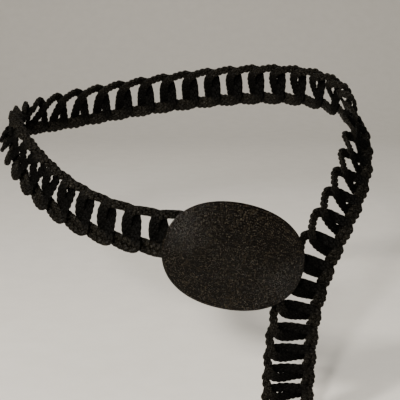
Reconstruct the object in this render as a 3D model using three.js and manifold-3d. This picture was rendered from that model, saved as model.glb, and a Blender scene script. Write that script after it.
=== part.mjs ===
// A hip belt: a chain of interlocked oval rings of plaited cord, closed by a large domed oval buckle.
// Millimetres, +Z up. The wearer's front faces -Y and the origin is the middle of the wearer's hips.

import * as THREE from 'three';
import { mergeVertices } from 'three/addons/utils/BufferGeometryUtils.js';
import Module from 'manifold-3d';

const wasm = await Module();
wasm.setup();

const DEGREE = Math.PI / 180;

// The hips that the belt goes round: an oval that flares out downwards and is straight below the belt's
// front.
const HIPS = { halfWidth: 193, depthRatio: 0.65, flare: 0.45, softness: 50 };

// Where the belt's middle runs and the shape of its rings there. Each row gives these seven values.
// turn: degrees from the wearer's front, round by the viewer's left.
// height: above the buckle's middle.
// pitch: from one ring to the next, short where the chain hangs slack.
// halfWidth: from the belt's middle to the middle of a ring's side.
// lean: how far a ring leans along the belt, for each millimetre across it.
// sweep: how far the ring's lower side sweeps back towards the buckle.
// slope: how far the lower side rises at its far end and drops at its near end.
const ROUTE_KEYS = ['turn', 'height', 'pitch', 'halfWidth', 'lean', 'sweep', 'slope'];
const ROUTE = [
  [-44, 26, 24.5, 15.8, 0.06, 4, 5],
  [-20, 20, 24.5, 15.8, 0.06, 4, 5],
  [4, 13, 24.5, 15.8, 0.06, 4, 5],
  [28, 30, 20.8, 15.8, 0.28, 3, 3],
  [52, 66, 18.5, 15.8, 0.32, 2, 3],
  [76, 90, 20.5, 12.5, 0.1, 1, 0.5],
  [100, 92, 22, 13.5, 0.06, 1, 0],
  [125, 93, 22.9, 17, 0.06, 1, 0],
  [152, 102, 22.9, 17, 0.06, 1, 0],
  [180, 113, 22.9, 17, 0.06, 1, 0],
  [208, 121, 22.9, 17, 0.06, 1, 0],
  [232, 121, 22.9, 17, 0.06, 1, 0],
  [250, 115, 22, 18, 0.06, 1, 0],
  [265, 106, 21, 18, 0.06, 1, 0],
  [279, 96, 19, 18, 0.06, 1, 0],
  [292, 76, 19.3, 18, 0.06, 1, 0],
  [310.3, 39, 22.6, 17.3, 0.06, 1, 0],
  [322.9, 3, 22, 17.3, 0.06, 1, 0],
  [328.8, -30, 20.3, 18.6, 0.04, 0, -1],
  [331.9, -58, 18.8, 20, 0.02, -1, -1],
  [333, -87, 18, 20.5, 0, -2, -1],
  [333.6, -116, 17.4, 20.3, 0, -2, -1],
  [333.8, -147, 16.8, 19.8, 0, -2, -1],
  [333.8, -178, 16.6, 19.8, 0, -2, -1],
  [333.8, -208, 16.6, 19.8, 0, -2, -1],
];
const ROUTE_STEPS = 1600;

// One ring.
const RING = {
  weave: 4.5,           // how far the cord rises and dips where it passes its neighbours
  endSquareness: 0.03,  // flattens a ring's ends into bars
  sideSquareness: 0.09, // straightens its sides
  topWidth: 7.6,        // the plait at the belt's upper edge
  lowWidth: 12.5,       // the plait at its lower edge
  lowStretch: 0.45,     // makes its lower side longer
  endWidth: 4,          // the plait where two rings lie side by side, to which a share of the pitch is added
  endShare: 0.135,
  thickness: 5.2,
  endGap: 0.8,          // clearance of two rings side by side
  sections: 16,
  sides: 6,
};
const FIRST_RING_AT = 73.2;   // along the route, under the buckle's left end
const TAIL_END_HEIGHT = -140; // the last ring lies just past the photograph's edge

// The buckle: an oval dome whose thread rows wind round a middle seam.
const BUCKLE = {
  halfLength: 59.8,
  halfHeight: 44.2,
  fullness: 0.032,      // how much fuller than an ellipse it is between its ends and its sides
  seamHalfLength: 32,
  rise: 12,
  rimHeight: 2.6,
  wall: 2.2,
  rows: 7,
  segments: 36,
  centre: { x: 41.5, y: -130.7, z: -0.4 },
  slant: 13.5,           // the right end hangs lower
  turnRight: 8.2,       // its face turns a little to the viewer's right
  leanBack: 5,
};
const BACK_PLATE = { inset: 2.5, thickness: 1.6, gap: 0.3 };
const PLATE_MIDDLE = -BACK_PLATE.gap - 0.5 * BACK_PLATE.thickness;
const WIRE = { diameter: 2.4, sides: 8, steps: 20, bend: 1.6, clearance: 0.9 };
// The hook goes down beside one link, under its upper side and up into its hole. Start and finish are across
// the belt.
const HOOK = { link: 39, start: 24, finish: 10.4, depth: 5.8, tip: 1.5 };

const FINISHES = {
  cord: { color: 0x17130f, roughness: 0.45, metalness: 0 },
  thread: { color: 0x15110d, roughness: 0.4, metalness: 0 },
  metal: { color: 0x4a4640, roughness: 0.4, metalness: 1 },
};
const MERGE_DISTANCE = 1e-4;

// Route

function hipHalfWidth(height) {
  const soft = HIPS.softness;
  const raised = 0.5 * (height + Math.sqrt(height * height + soft * soft));
  return HIPS.halfWidth - HIPS.flare * (raised - 0.5 * soft);
}

function hipPoint(turn, height) {
  const a = hipHalfWidth(height);
  const b = a * HIPS.depthRatio;
  return new THREE.Vector3(-a * Math.sin(turn), -b * Math.cos(turn), height);
}

function hipNormal(turn, height) {
  const step = 0.01;
  const at = hipPoint(turn, height);
  const along = hipPoint(turn + step, height).sub(at);
  const up = hipPoint(turn, height + step).sub(at);
  return up.cross(along).normalize();
}

function splineWeights(f) {
  const g = 1 - f;
  const weights = [g ** 3, 3 * f ** 3 - 6 * f ** 2 + 4, -3 * f ** 3 + 3 * f ** 2 + 3 * f + 1, f ** 3];
  return weights.map((weight) => weight / 6);
}

function routeRow(u) {
  const start = Math.min(Math.floor(u), ROUTE.length - 4);
  const weights = splineWeights(u - start);
  const row = {};
  for (const [column, key] of ROUTE_KEYS.entries()) {
    row[key] = weights.reduce((sum, weight, i) => sum + weight * ROUTE[start + i][column], 0);
  }
  return row;
}

function sampleRoute() {
  const samples = [];
  let length = 0;
  for (let i = 0; i <= ROUTE_STEPS; i++) {
    const row = routeRow((ROUTE.length - 3) * i / ROUTE_STEPS);
    const turn = row.turn * DEGREE;
    const point = hipPoint(turn, row.height);
    if (i > 0) {
      length += point.distanceTo(samples[i - 1].point);
    }
    samples.push({ length, point, normal: hipNormal(turn, row.height), row });
  }
  return samples;
}

const samples = sampleRoute();

function routeAt(length) {
  let low = 0;
  let high = samples.length - 1;
  while (high - low > 1) {
    const middle = (low + high) >> 1;
    if (samples[middle].length <= length) {
      low = middle;
    } else {
      high = middle;
    }
  }
  const a = samples[low];
  const b = samples[high];
  const f = (length - a.length) / (b.length - a.length);
  const along = b.point.clone().sub(a.point).normalize();
  const out = a.normal.clone().lerp(b.normal, f).normalize();
  const across = new THREE.Vector3().crossVectors(along, out).normalize();
  out.crossVectors(across, along);
  const place = { length, point: a.point.clone().lerp(b.point, f), along, across, out };
  for (const key of ROUTE_KEYS) {
    place[key] = a.row[key] + f * (b.row[key] - a.row[key]);
  }
  return place;
}

// A point of the belt: along the route, across the belt and out from the body. Across, up is positive on the
// viewer's left.
function beltPoint(length, across, out) {
  const at = routeAt(length);
  return at.point.addScaledVector(at.across, across).addScaledVector(at.out, out);
}

// Rings

function ringPlaces() {
  const places = [];
  let place = routeAt(FIRST_RING_AT);
  while (place.point.z > TAIL_END_HEIGHT) {
    places.push(place);
    const nextPitch = routeAt(place.length + place.pitch).pitch;
    place = routeAt(place.length + 0.5 * (place.pitch + nextPitch));
  }
  return places;
}

function ringEndWidth(place) {
  return RING.endWidth + RING.endShare * place.pitch;
}

function ringHalfLength(place) {
  return 0.5 * (place.pitch + ringEndWidth(place) + RING.endGap);
}

// Round the ring, angle 0 is the middle of its upper side and a quarter turn is the middle of its far end.
function ringCentre(place, angle) {
  const low = Math.max(0, -Math.cos(angle));
  const bulge = (Math.sin(angle) + RING.endSquareness * Math.sin(3 * angle)) / (1 - RING.endSquareness);
  const side = (Math.cos(angle) - RING.sideSquareness * Math.cos(3 * angle)) / (1 - RING.sideSquareness);
  const lift = 0.5 * (RING.lowWidth - RING.topWidth) + place.slope * bulge;
  const across = place.halfWidth * side + lift * low;
  const reach = ringHalfLength(place) * (1 + RING.lowStretch * low * low);
  const along = reach * bulge + place.lean * across - place.sweep * low * low;
  return beltPoint(place.length + along, across, RING.weave * Math.sin(2 * angle));
}

function ringWidth(place, angle) {
  const low = Math.max(0, -Math.cos(angle));
  const endness = Math.sin(angle) ** 2;
  const sideWidth = RING.topWidth + (RING.lowWidth - RING.topWidth) * low ** 4;
  return sideWidth + (ringEndWidth(place) - RING.topWidth) * endness;
}

function ringGeometry(place) {
  const step = 0.01;
  const positions = [];
  const indices = [];
  for (let i = 0; i < RING.sections; i++) {
    const angle = 2 * Math.PI * i / RING.sections;
    const centre = ringCentre(place, angle);
    const tangent = ringCentre(place, angle + step).sub(ringCentre(place, angle - step)).normalize();
    const side = new THREE.Vector3().crossVectors(tangent, place.out).normalize();
    const up = new THREE.Vector3().crossVectors(side, tangent);
    const width = ringWidth(place, angle);
    for (let j = 0; j < RING.sides; j++) {
      const around = 2 * Math.PI * j / RING.sides;
      const point = centre.clone();
      point.addScaledVector(side, 0.5 * width * Math.cos(around));
      point.addScaledVector(up, 0.5 * RING.thickness * Math.sin(around));
      positions.push(point.x, point.y, point.z);
      const next = (j + 1) % RING.sides;
      const a = i * RING.sides + j;
      const b = i * RING.sides + next;
      const c = ((i + 1) % RING.sections) * RING.sides + next;
      const d = ((i + 1) % RING.sections) * RING.sides + j;
      indices.push(a, c, b, a, d, c);
    }
  }
  const geometry = new THREE.BufferGeometry();
  geometry.setAttribute('position', new THREE.Float32BufferAttribute(positions, 3));
  geometry.setIndex(indices);
  return geometry;
}

// Buckle

function buckleMatrix() {
  const turn = new THREE.Matrix4().makeRotationZ(BUCKLE.turnRight * DEGREE);
  const lean = new THREE.Matrix4().makeRotationX((90 - BUCKLE.leanBack) * DEGREE);
  const slant = new THREE.Matrix4().makeRotationZ(-BUCKLE.slant * DEGREE);
  const place = new THREE.Matrix4().makeTranslation(BUCKLE.centre.x, BUCKLE.centre.y, BUCKLE.centre.z);
  return place.multiply(turn).multiply(lean).multiply(slant);
}

// A row of thread on the dome: share is 0 at the middle seam and 1 at the rim.
function domeRow(share, shrink, height) {
  const halfLength = BUCKLE.seamHalfLength + (BUCKLE.halfLength - shrink - BUCKLE.seamHalfLength) * share;
  const halfHeight = (BUCKLE.halfHeight - shrink) * share;
  const row = [];
  for (let i = 0; i < BUCKLE.segments; i++) {
    const angle = 2 * Math.PI * i / BUCKLE.segments;
    const fullness = 1 + BUCKLE.fullness * Math.sin(2 * angle) ** 2;
    row.push([halfLength * fullness * Math.cos(angle), halfHeight * fullness * Math.sin(angle), height]);
  }
  return row;
}

function domeHeight(share) {
  return BUCKLE.rimHeight + (BUCKLE.rise - BUCKLE.rimHeight) * (1 - share * share);
}

function coverGeometry() {
  const rows = [];
  for (let i = 0; i <= BUCKLE.rows; i++) {
    const share = i / BUCKLE.rows;
    rows.push(domeRow(share, 0, domeHeight(share)));
  }
  rows.push(domeRow(1, 0, 0));
  rows.push(domeRow(1, BUCKLE.wall, 0));
  for (let i = BUCKLE.rows - 1; i >= 0; i--) {
    const share = i / BUCKLE.rows;
    rows.push(domeRow(share, BUCKLE.wall, domeHeight(share) - BUCKLE.wall));
  }
  const positions = rows.flat(2);
  const indices = [];
  const n = BUCKLE.segments;
  for (let r = 0; r + 1 < rows.length; r++) {
    for (let i = 0; i < n; i++) {
      const a = r * n + i;
      const b = r * n + (i + 1) % n;
      indices.push(a, a + n, b + n, a, b + n, b);
    }
  }
  const geometry = new THREE.BufferGeometry();
  geometry.setAttribute('position', new THREE.Float32BufferAttribute(positions, 3));
  geometry.setIndex(indices);
  return dropFlatTriangles(mergeVertices(geometry, MERGE_DISTANCE));
}

// The rows at the middle seam fold onto one line, which leaves triangles with two like corners.
function dropFlatTriangles(geometry) {
  const index = geometry.getIndex().array;
  const kept = [];
  for (let i = 0; i < index.length; i += 3) {
    const [a, b, c] = [index[i], index[i + 1], index[i + 2]];
    if (a !== b && b !== c && c !== a) {
      kept.push(a, b, c);
    }
  }
  geometry.setIndex(kept);
  return geometry;
}

function plateGeometry() {
  const rim = domeRow(1, BACK_PLATE.inset, 0);
  const outline = new THREE.Shape(rim.map(([x, y]) => new THREE.Vector2(x, y)));
  const geometry = new THREE.ExtrudeGeometry(outline, { depth: BACK_PLATE.thickness, bevelEnabled: false });
  geometry.translate(0, 0, -BACK_PLATE.gap - BACK_PLATE.thickness);
  return geometry.applyMatrix4(buckleMatrix());
}

function wireGeometry(points) {
  const section = new THREE.Shape();
  section.absarc(0, 0, WIRE.diameter / 2, 0, 2 * Math.PI);
  const curve = new THREE.CatmullRomCurve3(points, false, 'centripetal');
  const settings = { steps: WIRE.steps, curveSegments: WIRE.sides, extrudePath: curve };
  return new THREE.ExtrudeGeometry(section, settings);
}

// The middle of the plate, on the line through two points of the belt.
function plateAbove(a, b) {
  const toPlate = buckleMatrix().invert();
  const depthA = a.clone().applyMatrix4(toPlate).z;
  const depthB = b.clone().applyMatrix4(toPlate).z;
  return a.clone().lerp(b, (PLATE_MIDDLE - depthA) / (depthB - depthA));
}

// A wire from the plate down past the belt, along under it and up again to its other end. Its start and
// finish are along or across the belt, as the function at takes them.
function wireUnderBelt(at, start, finish, depth, end) {
  const bend = WIRE.bend * Math.sign(finish - start);
  const points = [
    plateAbove(at(start, 0), at(start, 1)),
    at(start, 0),
    at(start, WIRE.bend - depth),
    at(start + bend, -depth),
    at(finish - bend, -depth),
    at(finish, WIRE.bend - depth),
    end,
  ];
  return wireGeometry(points);
}

// A loop behind the buckle's left end, round the end of the first ring.
function loopGeometry(place) {
  const reach = 0.5 * (ringEndWidth(place) + WIRE.diameter) + WIRE.clearance;
  const depth = 0.5 * (RING.thickness + WIRE.diameter) + WIRE.clearance;
  const start = place.length - ringHalfLength(place) - reach;
  const finish = start + 2 * reach;
  const at = (length, out) => beltPoint(length, 0, out);
  return wireUnderBelt(at, start, finish, depth, plateAbove(at(finish, 0), at(finish, 1)));
}

// A hook behind the buckle's right end, round the upper side of the link that lies there.
function hookGeometry(place) {
  const at = (across, out) => beltPoint(place.length, across, out);
  return wireUnderBelt(at, HOOK.start, HOOK.finish, HOOK.depth, at(HOOK.finish, HOOK.tip));
}

function asManifold(source) {
  const geometry = source.clone();
  geometry.deleteAttribute('normal');
  geometry.deleteAttribute('uv');
  const merged = mergeVertices(geometry, MERGE_DISTANCE);
  return new wasm.Manifold(new wasm.Mesh({
    numProp: 3,
    vertProperties: new Float32Array(merged.getAttribute('position').array),
    triVerts: new Uint32Array(merged.getIndex().array),
  }));
}

function asGeometry(manifold) {
  const mesh = manifold.getMesh();
  const geometry = new THREE.BufferGeometry();
  geometry.setAttribute('position', new THREE.Float32BufferAttribute(mesh.vertProperties, 3));
  geometry.setIndex(Array.from(mesh.triVerts));
  return geometry;
}

// Assembly

function named(geometry, name, finish) {
  geometry.computeVertexNormals();
  const mesh = new THREE.Mesh(geometry, new THREE.MeshStandardMaterial(finish));
  mesh.name = name;
  return mesh;
}

const belt = new THREE.Group();
const places = ringPlaces();
for (const [i, place] of places.entries()) {
  const name = `link_${String(i + 1).padStart(2, '0')}`;
  belt.add(named(ringGeometry(place), name, FINISHES.cord));
}

const cover = named(coverGeometry(), 'buckle_cover', FINISHES.thread);
cover.applyMatrix4(buckleMatrix());
belt.add(cover);

const back = asManifold(plateGeometry())
  .add(asManifold(loopGeometry(places[0])))
  .add(asManifold(hookGeometry(places[HOOK.link - 1])));
belt.add(named(asGeometry(back), 'buckle_back', FINISHES.metal));

export default belt;
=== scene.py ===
import math
from collections import namedtuple

import bpy
import numpy as np
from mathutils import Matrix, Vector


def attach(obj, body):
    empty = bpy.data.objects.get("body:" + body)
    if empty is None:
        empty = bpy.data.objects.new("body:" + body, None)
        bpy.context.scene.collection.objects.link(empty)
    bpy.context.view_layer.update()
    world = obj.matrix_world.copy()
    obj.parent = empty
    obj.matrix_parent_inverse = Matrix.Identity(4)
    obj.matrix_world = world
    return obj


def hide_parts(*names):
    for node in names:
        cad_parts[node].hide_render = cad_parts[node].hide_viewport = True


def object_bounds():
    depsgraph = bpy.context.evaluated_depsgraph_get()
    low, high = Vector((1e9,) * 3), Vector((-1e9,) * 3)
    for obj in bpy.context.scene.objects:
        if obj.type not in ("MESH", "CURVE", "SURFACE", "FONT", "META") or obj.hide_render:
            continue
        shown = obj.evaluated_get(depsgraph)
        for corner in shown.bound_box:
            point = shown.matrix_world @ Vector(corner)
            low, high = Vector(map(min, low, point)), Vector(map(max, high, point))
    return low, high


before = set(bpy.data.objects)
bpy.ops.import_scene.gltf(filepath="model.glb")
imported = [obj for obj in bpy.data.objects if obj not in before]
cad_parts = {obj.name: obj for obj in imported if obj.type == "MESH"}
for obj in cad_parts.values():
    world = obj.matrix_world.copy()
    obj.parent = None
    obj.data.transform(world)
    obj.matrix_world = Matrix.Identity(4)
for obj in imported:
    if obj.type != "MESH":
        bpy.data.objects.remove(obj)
cad_low, cad_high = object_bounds()

# A hip belt of interlocked plaited rings, closed by a domed oval buckle of coiled and stitched thread.
# The belt's sizes are in millimetres, as in the part's source, and its meshes are made in metres. Sizes of
# the materials and the stage are in metres. Colours are linear red, green and blue, and opacity where there
# is a fourth number.
MM = 0.001
SMALL_STEP = 0.01        # directions are worked out from points as near as this, in millimetres or radians

# The oval that the belt lies on. It flares out downwards, and is straight well below the buckle.
HIP_HALF_WIDTH = 193     # level with the buckle's middle
HIP_DEPTH_RATIO = 0.65
HIP_FLARE = 0.45         # for each millimetre of height
HIP_SOFTNESS = 50        # a higher one rounds the bend between flared and straight

# Where the belt's middle runs and the shape of its rings there: degrees round from the front, height,
# distance from ring to ring, a ring's half width, its lean for each millimetre across, and how far its
# lower side sweeps back and slopes.
ROUTE = np.array([
    # turn, height, pitch, half width, lean, sweep, slope
    (-44, 26, 24.5, 15.8, 0.06, 4, 5),
    (-20, 20, 24.5, 15.8, 0.06, 4, 5),
    (4, 13, 24.5, 15.8, 0.06, 4, 5),
    (28, 30, 20.8, 15.8, 0.28, 3, 3),
    (52, 66, 18.5, 15.8, 0.32, 2, 3),
    (76, 90, 20.5, 12.5, 0.1, 1, 0.5),
    (100, 92, 22, 13.5, 0.06, 1, 0),
    (125, 93, 22.9, 17, 0.06, 1, 0),
    (152, 102, 22.9, 17, 0.06, 1, 0),
    (180, 113, 22.9, 17, 0.06, 1, 0),
    (208, 121, 22.9, 17, 0.06, 1, 0),
    (232, 121, 22.9, 17, 0.06, 1, 0),
    (250, 115, 22, 18, 0.06, 1, 0),
    (265, 106, 21, 18, 0.06, 1, 0),
    (279, 96, 19, 18, 0.06, 1, 0),
    (292, 76, 19.3, 18, 0.06, 1, 0),
    (310.3, 39, 22.6, 17.3, 0.06, 1, 0),
    (322.9, 3, 22, 17.3, 0.06, 1, 0),
    (328.8, -30, 20.3, 18.6, 0.04, 0, -1),
    (331.9, -58, 18.8, 20, 0.02, -1, -1),
    (333, -87, 18, 20.5, 0, -2, -1),
    (333.6, -116, 17.4, 20.3, 0, -2, -1),
    (333.8, -147, 16.8, 19.8, 0, -2, -1),
    (333.8, -178, 16.6, 19.8, 0, -2, -1),
    (333.8, -208, 16.6, 19.8, 0, -2, -1),
])
SPAN_ROWS = 4            # of the route, which shape each stretch of its cubic spline
ROUTE_STEPS = 1600

# One ring's form, the same as its solid's.
WEAVE = 4.5              # how far the cord rises and dips where it passes its neighbours
END_SQUARENESS = 0.03    # flattens a ring's ends into bars
SIDE_SQUARENESS = 0.09   # straightens its sides
TOP_WIDTH = 7.6          # of the plait at the belt's upper edge
LOW_WIDTH = 12.5         # of the plait at its lower edge
LOW_STRETCH = 0.45       # makes a ring's lower side longer
END_WIDTH = 4            # of a ring's end, to which a share of the pitch is added
END_SHARE = 0.135
END_GAP = 0.8            # between the ends of two rings that lie side by side
FIRST_RING_AT = 73.2     # along the route, under the buckle's left end
TAIL_END_HEIGHT = -140
MEASURING_STEPS = 720    # for the length of a ring's middle line

# The flat plait of each ring.
STRANDS = 7
STRAND_STEPS = 150
STRAND_SIDES = 6
STRAND_WIDTH = 1.5       # to which a share of the plait's width is added
STRAND_SHARE = 0.19
STRAND_THICKNESS = 1.8
PLAIT_PERIOD = 34        # along the ring, for one strand to cross the plait and come back
PLAIT_DEPTH = 1.1        # how far a strand goes over and under the others
BAR_OVERLAP = 1.6        # where two rings lie side by side, their plaits press against each other
CROSSING_FLATNESS = 2.2  # a higher one holds a strand level over and under the others
TURN_ROUNDNESS = 0.05    # keeps a strand longer at the plait's edge, which makes the edge smooth
BAR_SMOOTHNESS = 0.55    # how much of the plait's relief is pressed flat in the bars
LOW_SHARPNESS = 4        # a higher one widens the plait only near the middle of the ring's lower side
GROOVE_DEPTH = 1.3       # parts the wide lower side into two cords
GROOVE_WIDTH = 1.3

# The buckle's dome and the thread that is coiled on it.
BUCKLE_HALF_LENGTH = 59.8
BUCKLE_HALF_HEIGHT = 44.2
BUCKLE_FULLNESS = 0.032  # how much fuller than an ellipse it is between its ends and its sides
SEAM_HALF_LENGTH = 32
RISE = 12
RIM_HEIGHT = 2.6
RIM_BULGE = 0.35
BULGE_HEIGHTS = (0.75, 0.4)  # as shares of the rim's height
WALL = 2.2
BUCKLE_CENTRE = (41.5, -130.7, -0.4)
SLANT = 13.5             # degrees, by which the right end hangs lower
TURN_RIGHT = 8.2         # degrees, to the viewer's right
LEAN_BACK = 5            # degrees
THREAD_ROWS = 20
ROW_PITCH = BUCKLE_HALF_HEIGHT / THREAD_ROWS
SAMPLES_A_ROW = 4
ROW_STEPS = 1000
ROW_RELIEF = 1.0
STITCH = 1.3
STITCH_RELIEF = 0.4
STITCH_FLATNESS = 0.3    # a lower one makes the dips between stitches narrower
STITCH_TILT = 0.12       # radians, usual for a stitch, though a few tilt far more
WILDEST_TILT = 5         # times the usual one
TILT_EVENNESS = 2        # degrees of freedom of the tilts' spread, a lower one makes more of them wild
STITCH_SLANT = 0.35      # of a stitch, over one row
START_SEED = 5           # of where each row's first stitch starts
STITCH_SEED = 11         # of the first row's stitches
INNER_ROWS = 8

# Grain and patches are waves in a metre, and relief is how deep a bump is taken to be.
NOISE_DETAIL = 2.0
NOISE_MIDDLE = (0.3, 0.7)        # where most values of a noise lie

# The cord's colour is darkened to black in the bars as painted shade, and is worn brown-grey at the belt's
# edges, with pale flecks that are partly painted glints.
CORD_BLACK = (0.0010, 0.0009, 0.0007, 1)
CORD_HOLLOW = (0.0024, 0.0021, 0.0016, 1)
CORD_WORN_GLINT = (0.022, 0.0195, 0.0145, 1)
CORD_GRAIN = 900
CORD_DETAIL = 3.0
CORD_GLINT_FLECKS = (0.48, 0.68)       # of the grain, from hollow to the pale of wear and painted glints
CORD_PATCHES = 60
CORD_SHADE = 0.45                # the most that a patch is darkened
BAR_COLOUR_FADE = (0.15, 0.85)   # of the ring's number "bar", from the worn edge colour to the black of painted shade
BAR_GLOSS_FADE = (0.2, 0.8)      # and from glossy to dull
BAR_DULLNESS = 0.25
CORD_ROUGHNESS = (0.45, 0.28)    # between the fibres and on them
CORD_SPECULAR = 0.035
CORD_TWIST = (60, 15)            # turns of fibre along a strand and across all the strands
TWIST_RELIEF = 0.00025
CORD_RELIEF = 0.0004
CORD_BUMP = 0.6

# The thread has lighter and darker stitches, brown or greyish by patches, and a scatter of pale flecks that
# are painted glints.
THREAD_BROWN = (0.009, 0.0060, 0.0029, 1)
THREAD_GREY = (0.0050, 0.0042, 0.0030, 1)
THREAD_DARK = (0.0014, 0.0010, 0.0006, 1)
THREAD_GLINT = (0.031, 0.026, 0.018, 1)
THREAD_PATCHES = 35
THREAD_GRAIN = 650
THREAD_DETAIL = 1.5
LIGHT_STITCHES = (0.65, 1.0)     # of the stitches' tones, from dark to light
GLINT_GRAIN = 900
GLINT_DETAIL = 0.0
THREAD_GLINT_FLECKS = (0.64, 0.74)            # of their grain, from none to the pale of painted glints
THREAD_ROUGHNESS = (0.20, 0.10)  # of the lowest and the highest tone
THREAD_SPECULAR = 0.08
THREAD_LINES = (279, 600)        # turns of fibre across all the rows and round the buckle
LINE_RELIEF = 0.00001
LINE_BUMP = 0.5
THREAD_RELIEF = 0.00016
THREAD_BUMP = 0.6

# The hidden back is lacquered steel.
METAL_DARK = (0.050, 0.047, 0.043, 1)
METAL_LIGHT = (0.090, 0.085, 0.076, 1)
METAL_SMEARS = 120
METAL_DETAIL = 4.0
METAL_ROUGHNESS = (0.35, 0.50)
METAL_GRAIN = 700
METAL_RELIEF = 0.0001
METAL_BUMP = 0.3

MAP_MARGIN = 0.02        # of one strand's strip on the map, on each side
BAKE_MAP = "OFBake"      # the map's name

# The camera looks along +Y and a little down, and the photograph's frame is its whole view.
CAMERA_PLACE = (0.0139, -0.9254, 0.2157)
CAMERA_PITCH = 12        # degrees
CAMERA_LENS = 90         # millimetres, and so is the sensor
CAMERA_SENSOR = 36

# The floor lies just under the belt's tail and curves up behind into a wall.
FLOOR_DARK = (0.70, 0.67, 0.61, 1)
FLOOR_LIGHT = (0.73, 0.70, 0.64, 1)
FLOOR_GRAIN = 40
FLOOR_ROUGHNESS = 0.9
FLOOR_GAP = 0.015
FLOOR_HALF_WIDTH = 4.0
FLOOR_FRONT = -4.0
WALL_FROM = 1.6
WALL_CURVE = 1.0
WALL_CURVE_STEPS = 12
WALL_HEIGHT = 4.0        # above the floor's level, from behind the curve

# Each round lamp's name, place, diameter, power and colour. All of them face one point of the belt.
LAMP_TARGET = (0.0, -0.1, 0.0)
LAMPS = (
    ("key", (-1.0, -1.35, 1.05), 0.25, 46, (1.0, 0.95, 0.88)),
    ("glint", (-0.2, -1.3, 0.5), 0.10, 20, (1.0, 0.96, 0.90)),
    ("fill", (1.3, -1.0, 0.4), 0.9, 3, (1.0, 0.97, 0.93)),
    ("top", (0.0, 0.5, 1.9), 1.4, 24, (1.0, 0.98, 0.95)),
)
STUDIO_COLOUR = (1.0, 0.97, 0.92, 1)
STUDIO_STRENGTH = 0.08


# Belt route

def unit(vectors):
    return vectors / np.linalg.norm(vectors, axis=-1, keepdims=True)


def hip_point(turn, height):
    """A point of the oval. Its front is at no turn, and a quarter turn on is the viewer's left."""
    raised = 0.5 * (height + np.sqrt(height**2 + HIP_SOFTNESS**2))
    half_width = HIP_HALF_WIDTH - HIP_FLARE * (raised - 0.5 * HIP_SOFTNESS)
    half_depth = HIP_DEPTH_RATIO * half_width
    return np.stack([-half_width * np.sin(turn), -half_depth * np.cos(turn), height], -1)


def hip_normal(turn, height):
    here = hip_point(turn, height)
    along = hip_point(turn + SMALL_STEP, height) - here
    up = hip_point(turn, height + SMALL_STEP) - here
    return unit(np.cross(up, along))


def spline_weights(share):
    """How much each of a span's four rows counts, at a share of the way along it."""
    rest = 1 - share
    first = rest**3
    second = 3 * share**3 - 6 * share**2 + 4
    third = -3 * share**3 + 3 * share**2 + 3 * share + 1
    return np.stack([first, second, third, share**3], -1) / 6


def sample_route():
    """Lengths, points, outward directions and ring shapes at even steps of the spline through the route."""
    spans = len(ROUTE) - SPAN_ROWS + 1
    place = spans * np.arange(ROUTE_STEPS + 1) / ROUTE_STEPS
    start = np.minimum(place.astype(int), spans - 1)
    rows = ROUTE[start[:, None] + np.arange(SPAN_ROWS)]
    turn, height, *shape = np.einsum("nw,nwc->cn", spline_weights(place - start), rows)
    turn = np.radians(turn)
    points = hip_point(turn, height)
    steps = np.linalg.norm(np.diff(points, axis=0), axis=1)
    lengths = np.concatenate([[0], np.cumsum(steps)])
    return lengths, points, hip_normal(turn, height), np.stack(shape)


LENGTHS, POINTS, NORMALS, SHAPES = sample_route()


def route_at(length):
    """Point and directions along, across and out, at lengths along the route."""
    length = np.asarray(length, float)
    last = np.clip(np.searchsorted(LENGTHS, length, side="right") - 1, 0, ROUTE_STEPS - 1)
    following = last + 1
    share = ((length - LENGTHS[last]) / (LENGTHS[following] - LENGTHS[last]))[..., None]
    point = POINTS[last] + share * (POINTS[following] - POINTS[last])
    along = unit(POINTS[following] - POINTS[last])
    out = unit(NORMALS[last] + share * (NORMALS[following] - NORMALS[last]))
    across = unit(np.cross(along, out))
    return point, along, across, np.cross(across, along)


def shape_at(length):
    """Pitch, half width, lean, sweep and slope at a length along the route."""
    return [float(np.interp(length, LENGTHS, values)) for values in SHAPES]


def belt_point(length, across, out):
    point, _, across_way, out_way = route_at(length)
    return point + across[..., None] * across_way + out[..., None] * out_way


def ring_places():
    """Where each ring's middle lies along the route."""
    places = []
    length = FIRST_RING_AT
    while route_at(length)[0][2] > TAIL_END_HEIGHT:
        places.append(length)
        pitch = shape_at(length)[0]
        length += 0.5 * (pitch + shape_at(length + pitch)[0])
    return places


def end_width(pitch):
    return END_WIDTH + END_SHARE * pitch


def lowness(angle):
    """0 on a ring's upper half, and rising to 1 in the middle of its lower side."""
    return np.maximum(0, -np.cos(angle))


def barness(angle):
    """0 in the middle of a ring's upper and lower side, and rising to 1 in its ends."""
    return np.sin(angle) ** 2


def ring_centre(length, angle):
    """Points of the ring's middle line. Angle 0 is the middle of its upper side."""
    pitch, half_width, lean, sweep, slope = shape_at(length)
    half_length = 0.5 * (pitch + end_width(pitch) + END_GAP)
    low = lowness(angle)
    bulge = (np.sin(angle) + END_SQUARENESS * np.sin(3 * angle)) / (1 - END_SQUARENESS)
    side = (np.cos(angle) - SIDE_SQUARENESS * np.cos(3 * angle)) / (1 - SIDE_SQUARENESS)
    across = half_width * side + (0.5 * (LOW_WIDTH - TOP_WIDTH) + slope * bulge) * low
    along = half_length * (1 + LOW_STRETCH * low**2) * bulge + lean * across - sweep * low**2
    return belt_point(length + along, across, WEAVE * np.sin(2 * angle))


# Meshes

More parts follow.
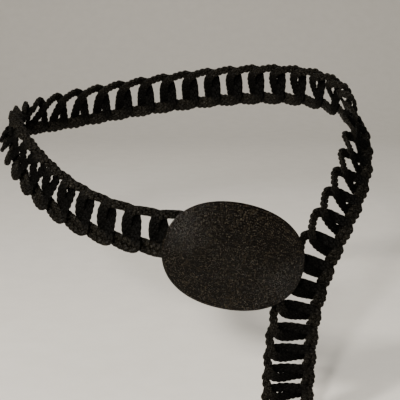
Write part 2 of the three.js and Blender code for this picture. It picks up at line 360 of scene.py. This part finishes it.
def make_mesh(name, points, quads, map_points, material, numbers):
    """A smooth mesh from millimetre points, quads of point numbers, and their corners' map places."""
    mesh = bpy.data.meshes.new(name)
    mesh.vertices.add(len(points))
    mesh.vertices.foreach_set("co", (points * MM).astype(np.float32).ravel())
    mesh.loops.add(quads.size)
    mesh.loops.foreach_set("vertex_index", quads.astype(np.int32).ravel())
    mesh.polygons.add(len(quads))
    mesh.polygons.foreach_set("loop_start", np.arange(0, quads.size, quads.shape[1], dtype=np.int32))
    mesh.update(calc_edges=True)
    layer = mesh.uv_layers.new(name=BAKE_MAP)
    layer.uv.foreach_set("vector", map_points.astype(np.float32).ravel())
    for key, values in numbers.items():
        attribute = mesh.attributes.new(key, "FLOAT", "POINT")
        attribute.data.foreach_set("value", values.astype(np.float32).ravel())
    mesh.shade_smooth()
    mesh.materials.append(material)
    piece = bpy.data.objects.new(name, mesh)
    bpy.context.scene.collection.objects.link(piece)
    return piece


def corners(table):
    """The four corners of each cell of a table, cell by cell."""
    four = [table[:-1, :-1], table[1:, :-1], table[1:, 1:], table[:-1, 1:]]
    return np.stack(four, 2).reshape((-1, len(four)) + table.shape[2:])


# Plaited rings

RingPath = namedtuple("RingPath", "centre side up angle share whole")


def ring_path(length):
    """The ring's middle line at even steps, with its directions and angle there, and its whole length."""
    fine = np.linspace(0, 2 * math.pi, MEASURING_STEPS + 1)
    line = ring_centre(length, fine)
    run = np.concatenate([[0], np.cumsum(np.linalg.norm(np.diff(line, axis=0), axis=1))])
    share = np.arange(STRAND_STEPS) / STRAND_STEPS
    angle = np.interp(share * run[-1], run, fine)
    centre = ring_centre(length, angle)
    tangent = unit(ring_centre(length, angle + SMALL_STEP) - ring_centre(length, angle - SMALL_STEP))
    side = unit(np.cross(tangent, route_at(length)[3]))
    up = np.cross(side, tangent)
    return RingPath(centre, side, up, angle, share, run[-1])


def plait_width(length, angle):
    side_width = TOP_WIDTH + (LOW_WIDTH - TOP_WIDTH) * lowness(angle) ** LOW_SHARPNESS
    bar_width = end_width(shape_at(length)[0]) + END_GAP + BAR_OVERLAP
    return side_width + (bar_width - TOP_WIDTH) * barness(angle)


def strand_width(width):
    return STRAND_WIDTH + STRAND_SHARE * width


def strand_line(path, width, strand):
    """The middle line of one strand: from edge to edge of the plait, over and under the others by turns."""
    periods = round(path.whole / PLAIT_PERIOD)
    phase = 2 * math.pi * (periods * path.share + strand / STRANDS)
    swing = (np.sin(phase) + TURN_ROUNDNESS * np.sin(3 * phase)) / (1 - TURN_ROUNDNESS)
    reach = 0.5 * (width - strand_width(width)) * swing
    lift = np.tanh(CROSSING_FLATNESS * np.sin((STRANDS - 1) * phase)) / math.tanh(CROSSING_FLATNESS)
    depth = PLAIT_DEPTH * (1 - BAR_SMOOTHNESS * barness(path.angle))
    middle = np.exp(-((reach / GROOVE_WIDTH) ** 2))
    groove = GROOVE_DEPTH * lowness(path.angle) ** LOW_SHARPNESS * middle
    return path.centre + path.side * reach[:, None] + path.up * (depth * lift - groove)[:, None]


def strand_surface(path, width, strand):
    """Points round a strand's middle line: wide along the plait's face, and thin through it."""
    line = strand_line(path, width, strand)
    tangent = unit(np.roll(line, -1, axis=0) - np.roll(line, 1, axis=0))
    flat = unit(np.cross(tangent, path.up))
    thick = np.cross(flat, tangent)
    around = 2 * math.pi * np.arange(STRAND_SIDES) / STRAND_SIDES
    wide = 0.5 * strand_width(width)[:, None, None] * np.cos(around)[None, :, None] * flat[:, None]
    deep = 0.5 * STRAND_THICKNESS * np.sin(around)[None, :, None] * thick[:, None]
    return line[:, None] + wide + deep


def plaited_ring(name, length, material):
    """A ring of flat-plaited strands, each a closed tube. Its number "bar" is 1 in its ends."""
    path = ring_path(length)
    width = plait_width(length, path.angle)
    points = []
    quads = []
    places = []
    count = STRAND_STEPS * STRAND_SIDES
    index = np.pad(np.arange(count).reshape(STRAND_STEPS, STRAND_SIDES), ((0, 1), (0, 1)), mode="wrap")
    along, around = np.meshgrid(
        np.arange(STRAND_STEPS + 1) / STRAND_STEPS,
        np.arange(STRAND_SIDES + 1) / STRAND_SIDES,
        indexing="ij",
    )
    strip = (1 - 2 * MAP_MARGIN) * around
    for strand in range(STRANDS):
        points.append(strand_surface(path, width, strand).reshape(-1, 3))
        quads.append(corners(index) + strand * count)
        places.append(corners(np.stack([along, (strand + strip + MAP_MARGIN) / STRANDS], -1)))
    bar = np.tile(np.repeat(barness(path.angle), STRAND_SIDES), STRANDS)
    return make_mesh(
        name,
        np.concatenate(points),
        np.concatenate(quads),
        np.concatenate(places).reshape(-1, 2),
        material,
        {"bar": bar},
    )


def add_rings(material):
    for number, length in enumerate(ring_places(), 1):
        ring = plaited_ring(f"plait_{number:02d}", length, material)
        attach(ring, "root")
        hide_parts(f"link_{number:02d}")


# Thread buckle

def turned(axis, degrees):
    """The matrix of a turn round X or Z."""
    angle = math.radians(degrees)
    cosine = math.cos(angle)
    sine = math.sin(angle)
    if axis == "X":
        return np.array([(1, 0, 0), (0, cosine, -sine), (0, sine, cosine)])
    return np.array([(cosine, -sine, 0), (sine, cosine, 0), (0, 0, 1)])


BUCKLE_TURN = turned("Z", TURN_RIGHT) @ turned("X", 90 - LEAN_BACK) @ turned("Z", -SLANT)


def dome_height(share):
    return RIM_HEIGHT + (RISE - RIM_HEIGHT) * (1 - share**2)


def oval(share, shrink, height):
    """One closed row round the middle seam, in the buckle's own frame."""
    angle = 2 * math.pi * np.arange(ROW_STEPS) / ROW_STEPS
    half_length = SEAM_HALF_LENGTH + (BUCKLE_HALF_LENGTH - shrink - SEAM_HALF_LENGTH) * share
    half_height = (BUCKLE_HALF_HEIGHT - shrink) * share
    fullness = 1 + BUCKLE_FULLNESS * np.sin(2 * angle) ** 2
    x = half_length * fullness * np.cos(angle)
    y = half_height * fullness * np.sin(angle)
    return np.stack([x, y, height + 0 * angle], -1)


def run_along(line):
    """How far each point of a closed line lies along it, and at last the whole length."""
    steps = np.linalg.norm(np.roll(line, -1, axis=0) - line, axis=1)
    return np.concatenate([[0], np.cumsum(steps)])


def stitch_pattern(line, row, across, start):
    """How high the stitches of one thread row stand, in millimetres, and each stitch's own tone."""
    run = run_along(line)
    middle = oval((row + 0.5) / THREAD_ROWS, 0, 0)
    count = round(run_along(middle)[-1] / STITCH)
    phase = count * run[:-1] / run[-1] + start + STITCH_SLANT * across
    stitch = np.floor(phase).astype(int) % count
    chance = np.random.default_rng(row + STITCH_SEED)
    tones = chance.random(count)
    wildness = np.clip(chance.standard_t(TILT_EVENNESS, (count, 2)), -WILDEST_TILT, WILDEST_TILT)
    tilts = STITCH_TILT * wildness
    dip = STITCH_RELIEF * (1 - np.abs(np.sin(math.pi * phase)) ** STITCH_FLATNESS)
    along = tilts[stitch, 0] * STITCH * (phase % 1 - 0.5)
    aside = tilts[stitch, 1] * ROW_PITCH * (across - 0.5)
    return along + aside - dip, tones[stitch]


def dome_rows():
    """The dome's lines from the middle seam to the rim, and their stitches' tones."""
    starts = np.random.default_rng(START_SEED).random((THREAD_ROWS + 1, 2))[:, 0]
    rows = []
    tones = []
    for sample in range(THREAD_ROWS * SAMPLES_A_ROW + 1):
        row, part = divmod(sample, SAMPLES_A_ROW)
        share = sample / (THREAD_ROWS * SAMPLES_A_ROW)
        line = oval(share, 0, dome_height(share))
        across = part / SAMPLES_A_ROW
        stitches, tone = stitch_pattern(line, row, across, starts[row])
        ridge = math.sqrt(max(1 - (2 * across - 1) ** 2, 0))
        line[:, 2] += ridge * stitches - ROW_RELIEF * (1 - ridge)
        rows.append(line)
        tones.append(tone)
    return rows, tones


def rim_rows():
    """The bulging rim's lines, from under the dome to its foot."""
    bulging = [oval(1, -RIM_BULGE, share * RIM_HEIGHT) for share in BULGE_HEIGHTS]
    return bulging + [oval(1, 0, 0)]


def inner_rows():
    """The smooth lines inside the dome, from the rim's foot to the seam."""
    rows = [oval(1, WALL, 0)]
    for inner in range(INNER_ROWS - 1, -1, -1):
        share = inner / INNER_ROWS
        rows.append(oval(share, WALL, dome_height(share) - WALL))
    return rows


def sewn_numbers(rows):
    """Point numbers of closed lines. The first and the last are seams, whose two sides share points."""
    step = np.arange(ROW_STEPS)
    fold = np.minimum(step, (ROW_STEPS - step) % ROW_STEPS)
    number = np.arange(rows * ROW_STEPS).reshape(rows, ROW_STEPS)
    number[0] = number[0][fold]
    number[-1] = number[-1][fold]
    return np.pad(number, ((0, 0), (0, 1)), mode="wrap")


def thread_cover(name, material):
    """The hollow dome. Its number "tone" is a stitch's own lightness."""
    rows, tones = dome_rows()
    rim = rim_rows()
    inside = inner_rows()
    tones += [tones[-1]] * len(rim) + [0 * tones[-1]] * len(inside)
    points = np.stack(rows + rim + inside)
    number = sewn_numbers(len(points))
    used, flat_number = np.unique(number, return_inverse=True)
    number = flat_number.reshape(number.shape)
    share = np.linspace(0, 1, len(points))
    angle = np.linspace(0, 1, ROW_STEPS + 1)
    places = np.stack(np.meshgrid(share, angle, indexing="ij"), -1)
    placed = points.reshape(-1, 3)[used] @ BUCKLE_TURN.T + np.array(BUCKLE_CENTRE)
    return make_mesh(
        name,
        placed,
        corners(number),
        corners(places).reshape(-1, 2),
        material,
        {"tone": np.stack(tones).ravel()[used]},
    )


def add_buckle(thread, metal):
    """The thread dome takes the cover's place, and the hidden back keeps its solid."""
    cover = thread_cover("thread_cover", thread)
    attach(cover, "root")
    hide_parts("buckle_cover")
    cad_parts["buckle_back"].material_slots[0].material = metal


# Materials

def new_material(name):
    material = bpy.data.materials.new(name)
    material.use_nodes = True
    tree = material.node_tree
    return material, tree, tree.nodes["Principled BSDF"]


def feed(tree, node, inputs):
    """Links sockets to a node's inputs, and writes plain values on them."""
    for key, value in inputs.items():
        if isinstance(value, bpy.types.NodeSocket):
            tree.links.new(value, node.inputs[key])
        else:
            node.inputs[key].default_value = value


def add_node(tree, kind, inputs=None, **settings):
    node = tree.nodes.new(kind)
    for key, value in settings.items():
        setattr(node, key, value)
    feed(tree, node, inputs or {})
    return node


def noise(tree, scale, detail=NOISE_DETAIL):
    place = add_node(tree, "ShaderNodeTexCoord").outputs["Object"]
    waves = {"Vector": place, "Scale": scale, "Detail": detail}
    return add_node(tree, "ShaderNodeTexNoise", waves).outputs["Fac"]


def number_of(tree, name):
    return add_node(tree, "ShaderNodeAttribute", attribute_name=name).outputs["Fac"]


def mapped(tree, value, given, wanted=(0.0, 1.0)):
    """Carries a value from its place between the given ends to the same place between the wanted ones."""
    ends = {
        "Value": value,
        "From Min": given[0],
        "From Max": given[1],
        "To Min": wanted[0],
        "To Max": wanted[1],
    }
    return add_node(tree, "ShaderNodeMapRange", ends).outputs["Result"]


def mixed_colour(tree, factor, first, second):
    """The mix node's sockets go by number here, because its colour and number inputs share their names."""
    return add_node(tree, "ShaderNodeMix", {0: factor, 6: first, 7: second}, data_type="RGBA").outputs[2]


def calculated(tree, operation, *values):
    return add_node(tree, "ShaderNodeMath", dict(enumerate(values)), operation=operation).outputs[0]


def thread_lines(tree, turns):
    """Ridges of twisted fibre that slant over the map. Turns are how many it crosses along each side."""
    place = add_node(tree, "ShaderNodeUVMap", uv_map=BAKE_MAP).outputs["UV"]
    ways = {0: place, 1: (*turns, 0)}
    turned_by = add_node(tree, "ShaderNodeVectorMath", ways, operation="DOT_PRODUCT").outputs["Value"]
    return calculated(tree, "SINE", calculated(tree, "MULTIPLY", turned_by, 2 * math.pi))


def with_bump(tree, height, distance, strength, normal=None):
    inputs = {"Height": height, "Distance": distance, "Strength": strength}
    if normal is not None:
        inputs["Normal"] = normal
    return add_node(tree, "ShaderNodeBump", inputs).outputs["Normal"]


def cord_material():
    """Black waxed cord: painted shade makes it black on the bars, and at the belt's edges it is worn
    brown-grey with glinting fibres, partly painted as pale flecks.
    """
    material, tree, shader = new_material("plaited cord")
    bar = number_of(tree, "bar")
    # In the bars the colour goes to black as painted shade; the edges keep their worn colour.
    wear_and_bar_shade = mapped(tree, bar, BAR_COLOUR_FADE, (1.0, 0.0))
    fibres = noise(tree, CORD_GRAIN, CORD_DETAIL)
    patches = noise(tree, CORD_PATCHES)
    # Pale flecks at the edges are partly wear and partly painted glints.
    wear_and_glint_flecks = mapped(tree, fibres, CORD_GLINT_FLECKS)
    edge_colour = mixed_colour(tree, wear_and_glint_flecks, CORD_HOLLOW, CORD_WORN_GLINT)
    base = mixed_colour(tree, wear_and_bar_shade, CORD_BLACK, edge_colour)
    shade = mapped(tree, patches, NOISE_MIDDLE, (0.0, CORD_SHADE))
    dullness = mapped(tree, bar, BAR_GLOSS_FADE, (0.0, BAR_DULLNESS))
    gloss = mapped(tree, fibres, NOISE_MIDDLE, CORD_ROUGHNESS)
    twist = with_bump(tree, thread_lines(tree, CORD_TWIST), TWIST_RELIEF, CORD_BUMP)
    feed(tree, shader, {
        "Base Color": mixed_colour(tree, shade, base, CORD_BLACK),
        "Roughness": calculated(tree, "ADD", gloss, dullness),
        "Normal": with_bump(tree, fibres, CORD_RELIEF, CORD_BUMP, twist),
        "Specular IOR Level": CORD_SPECULAR,
    })
    return material


def thread_material():
    """Fine dark thread, its stitches each a little lighter or darker, with pale flecks painted on as
    glints.
    """
    material, tree, shader = new_material("coiled thread")
    tone = number_of(tree, "tone")
    fibres = noise(tree, THREAD_GRAIN, THREAD_DETAIL)
    light = mixed_colour(tree, noise(tree, THREAD_PATCHES), THREAD_BROWN, THREAD_GREY)
    stitches = mixed_colour(tree, mapped(tree, tone, LIGHT_STITCHES), THREAD_DARK, light)
    # Pale flecks are painted glints, fixed on the thread's colour.
    wear_and_glint_flecks = mapped(tree, noise(tree, GLINT_GRAIN, GLINT_DETAIL), THREAD_GLINT_FLECKS)
    lines = with_bump(tree, thread_lines(tree, THREAD_LINES), LINE_RELIEF, LINE_BUMP)
    feed(tree, shader, {
        "Base Color": mixed_colour(tree, wear_and_glint_flecks, stitches, THREAD_GLINT),
        "Roughness": mapped(tree, tone, (0.0, 1.0), THREAD_ROUGHNESS),
        "Normal": with_bump(tree, fibres, THREAD_RELIEF, THREAD_BUMP, lines),
        "Specular IOR Level": THREAD_SPECULAR,
    })
    return material


def metal_material():
    """Dark lacquered steel of the hidden plate, loop and hook, with faint smears."""
    material, tree, shader = new_material("back metal")
    smears = noise(tree, METAL_SMEARS, METAL_DETAIL)
    feed(tree, shader, {
        "Base Color": mixed_colour(tree, smears, METAL_DARK, METAL_LIGHT),
        "Roughness": mapped(tree, smears, NOISE_MIDDLE, METAL_ROUGHNESS),
        "Normal": with_bump(tree, noise(tree, METAL_GRAIN), METAL_RELIEF, METAL_BUMP),
        "Metallic": 1.0,
    })
    return material


def floor_material():
    material, tree, shader = new_material("pale floor")
    grain = mapped(tree, noise(tree, FLOOR_GRAIN), NOISE_MIDDLE)
    feed(tree, shader, {
        "Base Color": mixed_colour(tree, grain, FLOOR_DARK, FLOOR_LIGHT),
        "Roughness": FLOOR_ROUGHNESS,
    })
    return material


# Stage

def add_camera():
    camera = bpy.data.objects.new("camera", bpy.data.cameras.new("camera"))
    camera.location = CAMERA_PLACE
    camera.rotation_euler = (math.radians(90 - CAMERA_PITCH), 0, 0)
    camera.data.lens = CAMERA_LENS
    camera.data.sensor_width = CAMERA_SENSOR
    bpy.context.scene.collection.objects.link(camera)
    bpy.context.scene.camera = camera


def add_floor():
    """A pale floor just under the belt's tail, rising behind into a plain wall."""
    level = cad_low[2] - FLOOR_GAP
    line = [(FLOOR_FRONT, level)]
    for step in range(WALL_CURVE_STEPS + 1):
        angle = 0.5 * math.pi * step / WALL_CURVE_STEPS
        back = WALL_FROM + WALL_CURVE * math.sin(angle)
        line.append((back, level + WALL_CURVE * (1 - math.cos(angle))))
    line.append((WALL_FROM + WALL_CURVE, level + WALL_HEIGHT))
    points = [(x, y, z) for x in (-FLOOR_HALF_WIDTH, FLOOR_HALF_WIDTH) for y, z in line]
    count = len(line)
    faces = [(i, count + i, count + i + 1, i + 1) for i in range(count - 1)]
    mesh = bpy.data.meshes.new("floor")
    mesh.from_pydata(points, [], faces)
    mesh.shade_smooth()
    mesh.materials.append(floor_material())
    floor = bpy.data.objects.new("floor", mesh)
    bpy.context.scene.collection.objects.link(floor)


def add_lamp(name, place, size, power, colour):
    data = bpy.data.lights.new(name, "AREA")
    data.shape = "DISK"
    data.size = size
    data.energy = power
    data.color = colour
    light = bpy.data.objects.new(name, data)
    light.location = place
    way = [to - start for to, start in zip(LAMP_TARGET, place)]
    light.rotation_euler = (
        math.atan2(math.hypot(way[0], way[1]), -way[2]),
        0,
        math.atan2(-way[0], way[1]),
    )
    bpy.context.scene.collection.objects.link(light)


def add_lights():
    for lamp in LAMPS:
        add_lamp(*lamp)
    world = bpy.data.worlds.new("studio")
    world.use_nodes = True
    studio = {"Color": STUDIO_COLOUR, "Strength": STUDIO_STRENGTH}
    feed(world.node_tree, world.node_tree.nodes["Background"], studio)
    bpy.context.scene.world = world


add_camera()
add_rings(cord_material())
add_buckle(thread_material(), metal_material())
add_floor()
add_lights()
